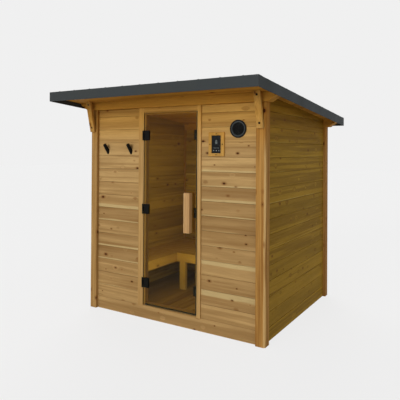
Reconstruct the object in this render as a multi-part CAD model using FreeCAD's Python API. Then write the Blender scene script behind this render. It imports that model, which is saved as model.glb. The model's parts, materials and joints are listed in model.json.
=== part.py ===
"""Outdoor sauna cabin: plank walls between four corner posts, a mono-pitch roof and a glass door.

Millimetres. +X is the right of the front, +Y goes to the back and +Z is up.
The origin lies on the ground, under the middle of the roof.
"""
import FreeCAD, Part
import math
import os

V = FreeCAD.Vector

# Cabin, measured over its corner posts
cabin_width = 2000.0
cabin_depth = 1770.0
post_width = 90.0
post_bevel = 14.0

# Walls of solid planks, set back from the faces of the posts
wall_thickness = 42.0
wall_setback = 30.0
bottom_course = 120.0

# Roof, measured over its metal edge trims
roof_front_height = 2221.0
roof_back_height = 2044.0
front_overhang = 439.0
back_overhang = 170.0
side_overhang = 132.5
trim_height = 95.0
trim_thickness = 2.0
trim_flange = 70.0
trim_lip = 5.0
sheet_thickness = 6.0
deck_thickness = 42.0

# Beams on the front and back walls
beam_proud = 22.0
beam_face_height = 78.0
beam_end_gap = 6.5
beam_end_cut_length = 98.0
beam_end_cut_height = 60.0

# Knee braces under the front overhang
brace_width = 58.0
brace_thickness = 28.0
brace_foot_below_beam = 227.0
brace_foot_proud = 25.0
brace_lean = 12.9

# Floor
floor_top = 45.0
floor_board_thickness = 25.0
floor_batten_width = 70.0
floor_batten_count = 5
floor_gap = 3.0

# Door frame
door_centre = 6.0
opening_width = 622.0
sill_height = 12.0
head_height = 46.0
jamb_left_width = 61.0
jamb_right_width = 37.0
jamb_proud = 15.0
jamb_inside_proud = 6.0
rebate_depth = 13.0
rebate_shoulder = 22.0

# Glass door
glass_gap = 6.0
glass_thickness = 8.0

# Door hinges
hinge_from_glass_end = 218.0
hinge_height = 95.0
hinge_barrel_radius = 7.0
hinge_pin_radius = 3.0
hinge_pin_clearance = 0.05
hinge_axis_from_glass = 9.0
hinge_axis_from_opening = 3.0
hinge_knuckle_height = 25.0
hinge_knuckle_gap = 0.5
hinge_plate_width = 62.0
hinge_plate_thickness = 7.0
hinge_plate_corner = 5.0
hinge_swing_gap = 1.5
hinge_back_plate_width = 45.0
hinge_back_plate_thickness = 4.0
hinge_back_plate_gap = 6.0
hinge_leaf_width = 14.0
hinge_leaf_thickness = 3.0

# Magnetic catches let into the right jamb
catch_height = 76.0
catch_width = 16.0
catch_depth = 12.0

# Door handles, one on each side of the glass
handle_width = 66.0
handle_depth = 49.0
handle_above_glass_bottom = 751.0
handle_height = 368.0
handle_right_from_glass_edge = 48.0
handle_edge_radius = 8.0

# Coat pegs on the left of the front wall
peg_from_post = 125.0
peg_from_jamb = 111.0
peg_radius = 18.0
peg_reach = 42.0
peg_rise = 57.0
peg_end_chamfer = 3.0
peg_foot_below_beam = 428.0

# Control panel on the right of the front wall
panel_gap_share = 0.34
panel_below_beam = 359.0
panel_width = 93.0
panel_height = 158.0
panel_thickness = 14.0
panel_frame_width = 160.0
panel_frame_height = 214.0
panel_frame_thickness = 18.0
panel_clearance = 0.5
panel_frame_chamfer = 3.0

# Round vent on the right of the front wall
vent_gap_share = 0.433
vent_below_beam = 224.0
vent_rim_radius = 79.0
vent_rim_thickness = 10.0
vent_rim_ring = 13.0
vent_pipe_radius = 60.0
vent_pipe_wall = 3.0
vent_hole_clearance = 0.5
vent_ring_count = 5
vent_ring_thickness = 3.0
vent_ring_depth = 5.0
vent_spoke_count = 6

# Benches
bench_top = 462.0
bench_front_height = 100.0
bench_board_thickness = 28.0
left_bench_depth = 428.0
back_bench_depth = 798.0
left_bench_slat_count = 4
back_bench_slat_count = 8
bench_slat_gap = 12.0
bench_bearer_height = 60.0
bench_leg_width = 75.0
bench_leg_depth = 45.0
bench_leg_from_corner = 34.0

# How far two directions may differ and still count as the same
parallel_tolerance = 0.001

# Places worked out from the driving dimensions
roof_half_width = cabin_width / 2 + side_overhang
roof_depth = front_overhang + cabin_depth + back_overhang
roof_front = -roof_depth / 2
roof_back = roof_depth / 2
roof_slope = (roof_front_height - roof_back_height) / roof_depth
front_face = roof_front + front_overhang
back_face = front_face + cabin_depth
side_face = cabin_width / 2
post_inner = side_face - post_width
wall_front = front_face + wall_setback
wall_inside_front = wall_front + wall_thickness
wall_back = back_face - wall_setback
wall_inside_back = wall_back - wall_thickness
wall_side = side_face - wall_setback
wall_inside_side = wall_side - wall_thickness
deck_drop = trim_thickness + sheet_thickness + deck_thickness
beam_half_length = roof_half_width - trim_thickness - beam_end_gap


def roof_top(y):
    """Return the height of the top of the roof trims at a depth."""
    return roof_front_height - roof_slope * (y - roof_front)


def deck_underside(y):
    """Return the height of the underside of the roof deck at a depth."""
    return roof_top(y) - deck_drop


front_beam_bottom = deck_underside(front_face - beam_proud) - beam_face_height
back_beam_bottom = deck_underside(back_face + beam_proud) - beam_face_height
brace_foot = front_beam_bottom - brace_foot_below_beam

# The doorway and the door
opening_left = door_centre - opening_width / 2
opening_right = door_centre + opening_width / 2
opening_bottom = bottom_course + sill_height
opening_top = front_beam_bottom - head_height
jamb_front = wall_front - jamb_proud
jamb_back = wall_inside_front + jamb_inside_proud
shoulder_front = jamb_front + rebate_depth
glass_left = opening_left + glass_gap
glass_right = opening_right - glass_gap
glass_bottom = opening_bottom + glass_gap
glass_top = opening_top - glass_gap
glass_front = jamb_front
glass_back = glass_front + glass_thickness
hinge_x = opening_left + hinge_axis_from_opening
hinge_y = glass_front - hinge_axis_from_glass
low_hinge = glass_bottom + hinge_from_glass_end
high_hinge = glass_top - hinge_from_glass_end
hinge_heights = (low_hinge, (low_hinge + high_hinge) / 2, high_hinge)
handle_bottom = glass_bottom + handle_above_glass_bottom
handle_right = glass_right - handle_right_from_glass_edge

# What hangs on the front wall
peg_places = (-post_inner + peg_from_post, opening_left - jamb_left_width - peg_from_jamb)
peg_foot = front_beam_bottom - peg_foot_below_beam
right_wall_start = opening_right + jamb_right_width
right_wall_width = post_inner - right_wall_start
free_wall = right_wall_width - panel_frame_width - 2 * vent_rim_radius
panel_place = right_wall_start + free_wall * panel_gap_share + panel_frame_width / 2
panel_middle = front_beam_bottom - panel_below_beam
vent_place = post_inner - free_wall * vent_gap_share - vent_rim_radius
vent_middle = front_beam_bottom - vent_below_beam


def box(x0, x1, y0, y1, z0, z1):
    """Return a block between two corners."""
    return Part.makeBox(x1 - x0, y1 - y0, z1 - z0, V(x0, y0, z0))


def prism(points, direction):
    """Return a flat outline pushed along a direction."""
    wire = Part.makePolygon(points + [points[0]])
    return Part.Face(wire).extrude(direction)


def yz_prism(outline, x0, x1):
    """Return an outline in the Y-Z plane pushed from x0 to x1."""
    return prism([V(x0, y, z) for y, z in outline], V(x1 - x0, 0, 0))


def xz_prism(outline, y0, y1):
    """Return an outline in the X-Z plane pushed from y0 to y1."""
    return prism([V(x, y0, z) for x, z in outline], V(0, y1 - y0, 0))


def xy_prism(outline, z0, z1):
    """Return an outline in the X-Y plane pushed from z0 to z1."""
    return prism([V(x, y, z0) for x, y in outline], V(0, 0, z1 - z0))


def rod(radius, start, end):
    """Return a round rod from one point to another."""
    way = end - start
    return Part.makeCylinder(radius, way.Length, start, way)


def edges_along(shape, way):
    """Return the straight edges of a shape that run along a direction."""
    found = []
    for edge in shape.Edges:
        tangent = edge.tangentAt(edge.FirstParameter)
        if tangent.cross(way).Length < parallel_tolerance:
            found.append(edge)
    return found


def fuse(shapes):
    """Return one clean solid made of touching shapes."""
    whole = shapes[0].fuse(shapes[1:])
    return whole.removeSplitter()


def save(name, shape):
    """Write one named piece."""
    shape.exportStep("parts/" + name + ".step")


def roof_layer(x0, x1, y0, y1, drop_top, drop_bottom):
    """Return a layer that follows the roof's slope, with upright ends."""
    outline = [
        (y0, roof_top(y0) - drop_bottom),
        (y1, roof_top(y1) - drop_bottom),
        (y1, roof_top(y1) - drop_top),
        (y0, roof_top(y0) - drop_top),
    ]
    return yz_prism(outline, x0, x1)


def corner_post(side, front):
    """Return a square post whose outer corner is bevelled off."""
    outer = side * side_face
    inner = side * post_inner
    if front:
        face, rear, top = front_face, front_face + post_width, front_beam_bottom
        cut = post_bevel
    else:
        face, rear, top = back_face, back_face - post_width, back_beam_bottom
        cut = -post_bevel
    outline = [
        (inner, face),
        (outer - side * post_bevel, face),
        (outer, face + cut),
        (outer, rear),
        (inner, rear),
    ]
    return xy_prism(outline, 0, top)


def post_corners(gap, z0, z1):
    """Return four blocks over the posts, to notch what fits between the walls."""
    near = front_face + post_width + gap
    far = back_face - post_width - gap
    inner = post_inner - gap
    blocks = []
    for x0, x1 in ((-side_face, -inner), (inner, side_face)):
        blocks.append(box(x0, x1, front_face, near, z0, z1))
        blocks.append(box(x0, x1, far, back_face, z0, z1))
    return blocks


def save_posts():
    """Write the four corner posts."""
    for side, side_name in ((-1, "left"), (1, "right")):
        save("post_front_" + side_name, corner_post(side, True))
        save("post_back_" + side_name, corner_post(side, False))


def wall_between(x0, x1, y0, y1, z0):
    """Return a wall that runs up to the sloping deck."""
    outline = [
        (y0, z0),
        (y1, z0),
        (y1, deck_underside(y1)),
        (y0, deck_underside(y0)),
    ]
    return yz_prism(outline, x0, x1)


def front_panel(x0, x1):
    """Return a front wall panel from the bottom board to the beam."""
    return box(x0, x1, wall_front, wall_inside_front, bottom_course, front_beam_bottom)


def save_walls():
    """Write the wall panels and the board that runs under the door."""
    board = box(-post_inner, post_inner, wall_front, wall_inside_front, 0, bottom_course)
    save("front_bottom_board", board)
    save("front_wall_left", front_panel(-post_inner, opening_left - jamb_left_width))
    right_panel = front_panel(opening_right + jamb_right_width, post_inner)
    start = V(vent_place, wall_front, vent_middle)
    end = V(vent_place, wall_inside_front, vent_middle)
    hole = rod(vent_pipe_radius + vent_hole_clearance, start, end)
    save("front_wall_right", right_panel.cut(hole))
    y0 = front_face + post_width
    y1 = back_face - post_width
    save("left_wall", wall_between(-wall_side, -wall_inside_side, y0, y1, 0))
    save("right_wall", wall_between(wall_inside_side, wall_side, y0, y1, 0))
    save("back_wall", box(-post_inner, post_inner, wall_inside_back, wall_back, 0, back_beam_bottom))


def save_floor():
    """Write the floor boards, which run from front to back, and the battens across that carry them."""
    x1 = wall_inside_side - floor_gap
    y0 = wall_inside_front + floor_gap
    y1 = wall_inside_back - floor_gap
    board_bottom = floor_top - floor_board_thickness
    floor = box(-x1, x1, y0, y1, board_bottom, floor_top)
    floor = floor.cut(post_corners(floor_gap, board_bottom, floor_top))
    save("floor_boards", floor)
    corners = post_corners(floor_gap, 0, board_bottom)
    span = y1 - y0 - floor_batten_width
    battens = []
    for index in range(floor_batten_count):
        start = y0 + span * index / (floor_batten_count - 1)
        batten = box(-x1, x1, start, start + floor_batten_width, 0, board_bottom)
        battens.append(batten.cut(corners))
    save("floor_battens", Part.makeCompound(battens))


def jamb(side):
    """Return an upright of the door frame, rebated for the glass."""
    if side < 0:
        inner = opening_left
        outer = opening_left - jamb_left_width
    else:
        inner = opening_right
        outer = opening_right + jamb_right_width
    shoulder = inner - side * rebate_shoulder
    outline = [
        (outer, jamb_front),
        (inner, jamb_front),
        (inner, shoulder_front),
        (shoulder, shoulder_front),
        (shoulder, jamb_back),
        (outer, jamb_back),
    ]
    return xy_prism(outline, bottom_course, front_beam_bottom)


def rail(y_z_outline):
    """Return a cross member of the door frame, whose rear part stops at the jambs' shoulders."""
    whole = yz_prism(y_z_outline, opening_left, opening_right)
    left_shoulder = opening_left + rebate_shoulder
    right_shoulder = opening_right - rebate_shoulder
    top = roof_front_height
    left = box(opening_left, left_shoulder, shoulder_front, jamb_back, 0, top)
    right = box(right_shoulder, opening_right, shoulder_front, jamb_back, 0, top)
    return whole.cut([left, right])


def door_catch(height):
    """Return the block of one magnetic catch, let into the shoulder of the right jamb."""
    middle = opening_right - rebate_shoulder / 2
    x0 = middle - catch_width / 2
    x1 = middle + catch_width / 2
    z0 = height - catch_height / 2
    return box(x0, x1, shoulder_front, shoulder_front + catch_depth, z0, z0 + catch_height)


def save_door_frame():
    """Write the jambs, the head, the sill and the catches of the door frame."""
    save("door_jamb_left", jamb(-1))
    right = jamb(1)
    catches = [door_catch(height) for height in hinge_heights]
    save("door_jamb_right", right.cut(catches))
    save("door_catches", Part.makeCompound(catches))
    head = [
        (jamb_front, opening_top),
        (shoulder_front, opening_top),
        (shoulder_front, opening_top - rebate_shoulder),
        (jamb_back, opening_top - rebate_shoulder),
        (jamb_back, front_beam_bottom),
        (jamb_front, front_beam_bottom),
    ]
    save("door_head", rail(head))
    sill = [
        (jamb_front, bottom_course),
        (jamb_back, bottom_course),
        (jamb_back, opening_bottom + rebate_shoulder),
        (shoulder_front, opening_bottom + rebate_shoulder),
        (shoulder_front, opening_bottom),
        (jamb_front, opening_bottom),
    ]
    save("door_sill", rail(sill))


def beam(outer_y, inner_y, bottom):
    """Return a beam with a sloping top, whose ends are cut back from below."""
    near = min(outer_y, inner_y)
    far = max(outer_y, inner_y)
    outline = [
        (near, bottom),
        (far, bottom),
        (far, deck_underside(far)),
        (near, deck_underside(near)),
    ]
    whole = yz_prism(outline, -beam_half_length, beam_half_length)
    for side in (-1, 1):
        end = side * beam_half_length
        corner = [
            (end, bottom),
            (end - side * beam_end_cut_length, bottom),
            (end, bottom + beam_end_cut_height),
        ]
        whole = whole.cut(xz_prism(corner, near, far))
    return whole


def save_beams():
    """Write the beams that lie on the posts."""
    save("front_beam", beam(front_face - beam_proud, front_face + post_width, front_beam_bottom))
    save("back_beam", beam(back_face + beam_proud, back_face - post_width, back_beam_bottom))


def brace_outline():
    """Return the side view of a knee brace, from the post up to the deck."""
    lean = math.tan(math.radians(brace_lean))
    foot_front = front_face - brace_foot_proud
    across = brace_thickness / math.cos(math.radians(brace_lean))
    rear_rise = (brace_foot_proud - across) / -lean
    top = brace_foot
    for _ in range(8):
        top = deck_underside(foot_front - (top - brace_foot) * lean)
    front_top = foot_front - (top - brace_foot) * lean
    rear_top = front_top + across
    return [
        (foot_front, brace_foot),
        (front_face, brace_foot),
        (front_face, brace_foot + rear_rise),
        (rear_top, deck_underside(rear_top)),
        (front_top, deck_underside(front_top)),
    ]


def save_braces():
    """Write the two boards that brace the front overhang."""
    middle = side_face - post_width / 2
    half = brace_width / 2
    save("knee_brace_left", yz_prism(brace_outline(), -middle - half, -middle + half))
    save("knee_brace_right", yz_prism(brace_outline(), middle - half, middle + half))


def save_roof():
    """Write the deck and the roofing sheet."""
    edge = roof_half_width - trim_thickness
    front = roof_front + trim_thickness
    back = roof_back - trim_thickness
    sheet_drop = trim_thickness + sheet_thickness
    save("roof_deck", roof_layer(-edge, edge, front, back, sheet_drop, deck_drop))
    save("roof_sheet", roof_layer(-edge, edge, front, back, trim_thickness, sheet_drop))


def end_trim(outer, inward):
    """Return the folded trim along the front or the back edge: a leg, a top flange and a lip."""
    edge = roof_half_width - trim_thickness
    leg_in = outer + inward * trim_thickness
    flange_in = outer + inward * trim_flange
    lip_in = leg_in + inward * trim_lip
    lip_top = trim_height - trim_thickness
    y0, y1 = sorted((outer, leg_in))
    leg = roof_layer(-roof_half_width, roof_half_width, y0, y1, 0, trim_height)
    y0, y1 = sorted((leg_in, flange_in))
    flange = roof_layer(-edge, edge, y0, y1, 0, trim_thickness)
    y0, y1 = sorted((leg_in, lip_in))
    lip = roof_layer(-edge, edge, y0, y1, lip_top, trim_height)
    return fuse([leg, flange, lip])


def side_trim(side):
    """Return the folded trim along a sloping edge, between the front and the back trims."""
    front = roof_front + trim_thickness
    back = roof_back - trim_thickness
    outer = side * roof_half_width
    leg_in = side * (roof_half_width - trim_thickness)
    flange_in = side * (roof_half_width - trim_flange)
    lip_in = leg_in - side * trim_lip
    lip_top = trim_height - trim_thickness
    x0, x1 = sorted((outer, leg_in))
    leg = roof_layer(x0, x1, front, back, 0, trim_height)
    x0, x1 = sorted((leg_in, flange_in))
    flange = roof_layer(x0, x1, roof_front + trim_flange, roof_back - trim_flange, 0, trim_thickness)
    x0, x1 = sorted((leg_in, lip_in))
    lip = roof_layer(x0, x1, front + trim_lip, back - trim_lip, lip_top, trim_height)
    return fuse([leg, flange, lip])


def save_trims():
    """Write the four trims round the edge of the roof."""
    save("roof_trim_front", end_trim(roof_front, 1))
    save("roof_trim_back", end_trim(roof_back, -1))
    save("roof_trim_left", side_trim(-1))
    save("roof_trim_right", side_trim(1))


def save_glass():
    """Write the glass of the door."""
    save("door_glass", box(glass_left, glass_right, glass_front, glass_back, glass_bottom, glass_top))


def handle(outside):
    """Return a wooden pull, a plain block whose open edges are rounded."""
    right = handle_right
    left = right - handle_width
    if outside:
        near, far = glass_front - handle_depth, glass_front
    else:
        near, far = glass_back, glass_back + handle_depth
    block = box(left, right, near, far, handle_bottom, handle_bottom + handle_height)
    open_y = near if outside else far
    glass_y = far if outside else near
    rounded = [
        edge
        for edge in edges_along(block, V(0, 0, 1))
        if abs(edge.CenterOfMass.y - open_y) < abs(edge.CenterOfMass.y - glass_y)
    ]
    return block.makeFillet(handle_edge_radius, rounded)


def save_handles():
    """Write the two door pulls."""
    save("door_handle_outside", handle(True))
    save("door_handle_inside", handle(False))


def knuckle(z0, z1):
    """Return a length of hinge barrel."""
    return rod(hinge_barrel_radius, V(hinge_x, hinge_y, z0), V(hinge_x, hinge_y, z1))


def jamb_leaf(height):
    """Return the fixed half of a hinge: a flange, two knuckles and the pin."""
    z0 = height - hinge_height / 2
    z1 = height + hinge_height / 2
    low = z0 + hinge_knuckle_height
    high = z1 - hinge_knuckle_height
    flange_y = jamb_front - hinge_leaf_thickness
    flange = box(opening_left - hinge_leaf_width, opening_left, flange_y, jamb_front, z0, z1)
    swing = rod(hinge_barrel_radius + hinge_knuckle_gap, V(hinge_x, hinge_y, low), V(hinge_x, hinge_y, high))
    flange = flange.cut(swing)
    web_left = hinge_x - hinge_barrel_radius
    web_low = box(web_left, opening_left, hinge_y, jamb_front, z0, low)
    web_high = box(web_left, opening_left, hinge_y, jamb_front, high, z1)
    pin = rod(hinge_pin_radius, V(hinge_x, hinge_y, z0), V(hinge_x, hinge_y, z1))
    return fuse([flange, web_low, web_high, knuckle(z0, low), knuckle(high, z1), pin])


def glass_leaf(height):
    """Return the moving half of a hinge: its knuckle and the plates that clamp the glass."""
    z0 = height - hinge_height / 2
    z1 = height + hinge_height / 2
    low = z0 + hinge_knuckle_height + hinge_knuckle_gap
    high = z1 - hinge_knuckle_height - hinge_knuckle_gap
    plate_left = hinge_x + hinge_barrel_radius + hinge_swing_gap
    plate_right = plate_left + hinge_plate_width
    plate_front = glass_front - hinge_plate_thickness
    plate = box(plate_left, plate_right, plate_front, glass_front, z0, z1)
    plate = plate.makeFillet(hinge_plate_corner, edges_along(plate, V(0, 1, 0)))
    bridge_right = plate_left + hinge_plate_corner
    bridge = box(hinge_x, bridge_right, plate_front, hinge_y + hinge_barrel_radius, low, high)
    bore_start = V(hinge_x, hinge_y, low)
    bore_end = V(hinge_x, hinge_y, high)
    bore = rod(hinge_pin_radius + hinge_pin_clearance, bore_start, bore_end)
    return fuse([plate, bridge, knuckle(low, high)]).cut(bore)


def back_plate(height):
    """Return the plate that clamps the glass from the inside."""
    x0 = opening_left + rebate_shoulder + hinge_back_plate_gap
    x1 = x0 + hinge_back_plate_width
    half = hinge_height / 2
    y1 = glass_back + hinge_back_plate_thickness
    plate = box(x0, x1, glass_back, y1, height - half, height + half)
    return plate.makeFillet(hinge_plate_corner, edges_along(plate, V(0, 1, 0)))


def save_hinges():
    """Write the three door hinges."""
    for name, height in zip(("bottom", "middle", "top"), hinge_heights):
        save("hinge_" + name + "_jamb_leaf", jamb_leaf(height))
        save("hinge_" + name + "_glass_leaf", glass_leaf(height))
    save("hinge_back_plates", Part.makeCompound([back_plate(height) for height in hinge_heights]))


def save_pegs():
    """Write the two coat pegs, each a rod that leans out of the wall and has a chamfered end."""
    lean = V(0, -peg_reach, peg_rise)
    lean.normalize()
    for name, x in zip(("left", "right"), peg_places):
        foot = V(x, wall_front, peg_foot)
        tip = V(x, wall_front - peg_reach, peg_foot + peg_rise) + lean * peg_radius
        shaft = rod(peg_radius, foot - lean * 2 * peg_radius, tip)
        tip_edge = [edge for edge in shaft.Edges if (edge.CenterOfMass - tip).Length < peg_end_chamfer]
        shaft = shaft.makeChamfer(peg_end_chamfer, tip_edge)
        outside = wall_front - 2 * peg_reach
        room = box(x - peg_reach, x + peg_reach, outside, wall_front, 0, roof_front_height)
        save("coat_peg_" + name, shaft.common(room))


def save_control_panel():
    """Write the wooden surround and the dark panel inside it."""
    half = panel_frame_width / 2
    tall = panel_frame_height / 2
    height = panel_middle
    front = wall_front - panel_frame_thickness
    surround = box(panel_place - half, panel_place + half, front, wall_front, height - tall, height + tall)
    hole_half = panel_width / 2 + panel_clearance
    hole_tall = panel_height / 2 + panel_clearance
    x0 = panel_place - hole_half
    x1 = panel_place + hole_half
    hole = box(x0, x1, front, wall_front, height - hole_tall, height + hole_tall)
    rim = [edge for edge in surround.Edges if abs(edge.CenterOfMass.y - front) < panel_clearance]
    surround = surround.makeChamfer(panel_frame_chamfer, rim)
    save("control_panel_frame", surround.cut(hole))
    half = panel_width / 2
    tall = panel_height / 2
    face = wall_front - panel_thickness
    panel = box(panel_place - half, panel_place + half, face, wall_front, height - tall, height + tall)
    save("control_panel", panel)


def ring(outer, inner, start, end):
    """Return a round ring between two points on its axis."""
    return rod(outer, start, end).cut(rod(inner, start, end))


def save_vent():
    """Write the round vent: a rimmed pipe through the wall, closed by rings on spokes."""
    def on_axis(y):
        return V(vent_place, y, vent_middle)

    rim_front = wall_front - vent_rim_thickness
    rim = ring(vent_rim_radius, vent_rim_radius - vent_rim_ring, on_axis(rim_front), on_axis(wall_front))
    seat_front = wall_front - vent_ring_depth
    pipe_bore = vent_pipe_radius - vent_pipe_wall
    seat = ring(vent_rim_radius - vent_rim_ring, pipe_bore, on_axis(seat_front), on_axis(wall_front))
    pipe = ring(vent_pipe_radius, pipe_bore, on_axis(seat_front), on_axis(wall_inside_front))
    pieces = [rim, seat, pipe]
    pitch = pipe_bore / (vent_ring_count + 0.5)
    for index in range(1, vent_ring_count + 1):
        outer = index * pitch
        inner = outer - vent_ring_thickness
        pieces.append(ring(outer, inner, on_axis(seat_front), on_axis(wall_front)))
    half = vent_ring_thickness / 2
    spoke_end = vent_place + pipe_bore + half
    z0 = vent_middle - half
    z1 = vent_middle + half
    for index in range(vent_spoke_count):
        spoke = box(vent_place, spoke_end, seat_front, wall_front, z0, z1)
        spoke.rotate(on_axis(0), V(0, 1, 0), index * 360.0 / vent_spoke_count)
        pieces.append(spoke)
    save("round_vent", fuse(pieces))


def slats(x0, x1, y0, y1, count, along_x):
    """Return seat boards that fill a rectangle, with even gaps between them."""
    bottom = bench_top - bench_board_thickness
    boards = []
    if along_x:
        width = (y1 - y0 - (count - 1) * bench_slat_gap) / count
        for index in range(count):
            start = y0 + index * (width + bench_slat_gap)
            boards.append(box(x0, x1, start, start + width, bottom, bench_top))
    else:
        width = (x1 - x0 - (count - 1) * bench_slat_gap) / count
        for index in range(count):
            start = x0 + index * (width + bench_slat_gap)
            boards.append(box(start, start + width, y0, y1, bottom, bench_top))
    return boards


def save_benches():
    """Write the bench along the left wall, the deeper one along the back wall and its leg."""
    low = bench_top - bench_front_height
    slat_bottom = bench_top - bench_board_thickness
    bearer_bottom = slat_bottom - bench_bearer_height
    back_front = wall_inside_back - back_bench_depth
    left_edge = -wall_inside_side
    left_inner = left_edge + left_bench_depth
    apron_x = left_inner - bench_board_thickness
    seat_front = wall_inside_front
    pieces = slats(left_edge, apron_x, seat_front, back_front, left_bench_slat_count, False)
    pieces.append(box(apron_x, left_inner, seat_front, back_front, low, bench_top))
    for y0 in (seat_front, back_front - bench_board_thickness):
        pieces.append(box(left_edge, apron_x, y0, y0 + bench_board_thickness, bearer_bottom, slat_bottom))
    corners = post_corners(0, low, bench_top)
    save("left_bench", fuse(pieces).cut(corners))
    apron_y = back_front + bench_board_thickness
    pieces = slats(left_edge, -left_edge, apron_y, wall_inside_back, back_bench_slat_count, True)
    pieces.append(box(left_edge, -left_edge, back_front, apron_y, low, bench_top))
    for x0 in (left_edge, left_inner, -left_edge - bench_board_thickness):
        x1 = x0 + bench_board_thickness
        pieces.append(box(x0, x1, apron_y, wall_inside_back, bearer_bottom, slat_bottom))
    save("back_bench", fuse(pieces).cut(corners))
    leg_left = left_inner + bench_leg_from_corner
    leg_right = leg_left + bench_leg_width
    save("bench_leg", box(leg_left, leg_right, back_front, back_front + bench_leg_depth, floor_top, low))


def main():
    os.makedirs("parts", exist_ok=True)
    save_posts()
    save_walls()
    save_floor()
    save_door_frame()
    save_beams()
    save_braces()
    save_roof()
    save_trims()
    save_glass()
    save_handles()
    save_hinges()
    save_pegs()
    save_control_panel()
    save_vent()
    save_benches()
    print("roof slope in degrees", round(math.degrees(math.atan(roof_slope)), 2))
    print("beam bottoms", round(front_beam_bottom, 1), round(back_beam_bottom, 1))
    print("door axis", hinge_x, hinge_y)
    print("glass", glass_right - glass_left, "by", glass_top - glass_bottom)


main()
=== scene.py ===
# %% [markdown]
# An outdoor sauna cabin, dressed in its timber, glass and steel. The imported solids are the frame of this
# lesson: they say where every piece is and how large it is. Blender adds what they leave out, which is
# the boards, the grain, the screws and the finish of every surface.

# %% Load the frame
import json
import math
import random
from bisect import bisect_right

import bmesh
import bpy
from mathutils import Matrix, Vector


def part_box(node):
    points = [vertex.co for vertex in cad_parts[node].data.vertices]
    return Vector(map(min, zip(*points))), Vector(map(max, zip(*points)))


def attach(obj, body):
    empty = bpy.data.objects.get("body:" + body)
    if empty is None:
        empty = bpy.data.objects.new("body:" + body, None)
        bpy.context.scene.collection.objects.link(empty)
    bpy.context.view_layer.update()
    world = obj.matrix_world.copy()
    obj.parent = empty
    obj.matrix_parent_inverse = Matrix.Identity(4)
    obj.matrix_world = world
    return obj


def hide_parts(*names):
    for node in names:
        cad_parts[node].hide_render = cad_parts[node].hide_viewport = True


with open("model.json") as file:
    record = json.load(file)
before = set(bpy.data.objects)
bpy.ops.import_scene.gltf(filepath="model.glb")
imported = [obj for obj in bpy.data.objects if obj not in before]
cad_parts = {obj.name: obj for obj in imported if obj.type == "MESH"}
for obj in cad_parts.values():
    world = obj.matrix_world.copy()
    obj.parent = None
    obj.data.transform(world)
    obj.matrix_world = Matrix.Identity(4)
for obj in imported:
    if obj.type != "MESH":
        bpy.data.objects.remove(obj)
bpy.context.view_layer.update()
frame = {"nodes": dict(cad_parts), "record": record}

scene = bpy.context.scene

# %% [markdown]
# The camera comes first, because every comparison with the photograph depends on it. It stands to the
# right of the door at eye height and looks almost level, and a small shift lowers the picture instead of
# a tilt, which keeps the posts upright. The values were found by fitting a camera to the corners of the
# roof, the posts and the door.

# %% Set the camera
picture_size = 400
level_row = 147.6
camera_place = Vector((2.606, -4.401, 1.641))
turn_left = math.radians(31.663)
look_up = math.radians(0.433)
lean = math.radians(0.349)

camera_data = bpy.data.cameras.new("camera")
camera_data.sensor_fit = "HORIZONTAL"
camera_data.sensor_width = 36.0
camera_data.lens = 42.58
camera_data.shift_y = (level_row - picture_size / 2) / picture_size
camera = bpy.data.objects.new("camera", camera_data)
scene.collection.objects.link(camera)
aim = Matrix.Rotation(turn_left, 4, "Z") @ Matrix.Rotation(math.pi / 2 + look_up, 4, "X")
camera.matrix_world = Matrix.Translation(camera_place) @ aim @ Matrix.Rotation(lean, 4, "Z")
scene.camera = camera
print("camera shift", round(camera_data.shift_y, 4))

# %% [markdown]
# Every colour in this lesson is an sRGB code, the way a paint chart gives it. Shaders work with linear
# light, so one function turns a code into linear values. A second one fills the inputs of a node, and a
# third adds a node with its settings and links. The last asks each ray what it is for, so that the
# background can look pale without lighting the cabin.

# %% Colours and nodes
def linear(hex_code):
    """Turn an sRGB hex colour into the linear values that a shader takes."""
    shares = [int(hex_code[place:place + 2], 16) / 255 for place in (1, 3, 5)]
    return [s / 12.92 if s <= 0.04045 else ((s + 0.055) / 1.055) ** 2.4 for s in shares] + [1.0]


def fill(tree, node, inputs):
    """Fill a node's inputs with values, hex colours or what other nodes give out."""
    for key, value in inputs.items():
        if isinstance(value, bpy.types.Node):
            value = value.outputs[0]
        if isinstance(value, bpy.types.NodeSocket):
            tree.links.new(value, node.inputs[key])
        else:
            node.inputs[key].default_value = linear(value) if isinstance(value, str) else value


def add(tree, kind, inputs=None, **settings):
    """Add a node with its settings and links."""
    node = tree.nodes.new("ShaderNode" + kind)
    for name, value in settings.items():
        setattr(node, name, value)
    fill(tree, node, inputs or {})
    return node


def seen_directly(tree):
    """Return a value that is 1 for rays that look at a thing straight, in a mirror or through glass."""
    path = add(tree, "LightPath").outputs
    looked_at = add(tree, "Math", {0: path["Is Camera Ray"], 1: path["Is Glossy Ray"]}, operation="MAXIMUM")
    return add(tree, "Math", {0: looked_at, 1: path["Is Transmission Ray"]}, operation="MAXIMUM")


print("mid grey in linear light", round(linear("#808080")[0], 3))

# %% [markdown]
# A studio for a small building could use a few large square lamps, but they fade with distance and leave
# a grey floor. Suns with wide discs light everything evenly and still give soft shadows: a strong low one
# from the front, where the photograph has its light, and weak ones from the right and from behind. The
# sky looks nearly white to the camera and in glass and metal, and it shines less on the object, so
# colours come out as written. Little of that light finds its way through the tinted door, so a flat lamp
# in the doorway, which no eye sees, lights the room.

# %% The sky and the suns
sky_light = 0.4
pale_sky = "#F0F0F0"
world = bpy.data.worlds.new("studio")
scene.world = world
world.use_nodes = True
tree = world.node_tree
tree.nodes.clear()
white = add(tree, "Background", {"Color": pale_sky, "Strength": 1.0})
soft = add(tree, "Background", {"Color": "#FFFFFF", "Strength": sky_light})
sky = add(tree, "MixShader", {0: seen_directly(tree), 1: soft, 2: white})
add(tree, "OutputWorld", {"Surface": sky})


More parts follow.
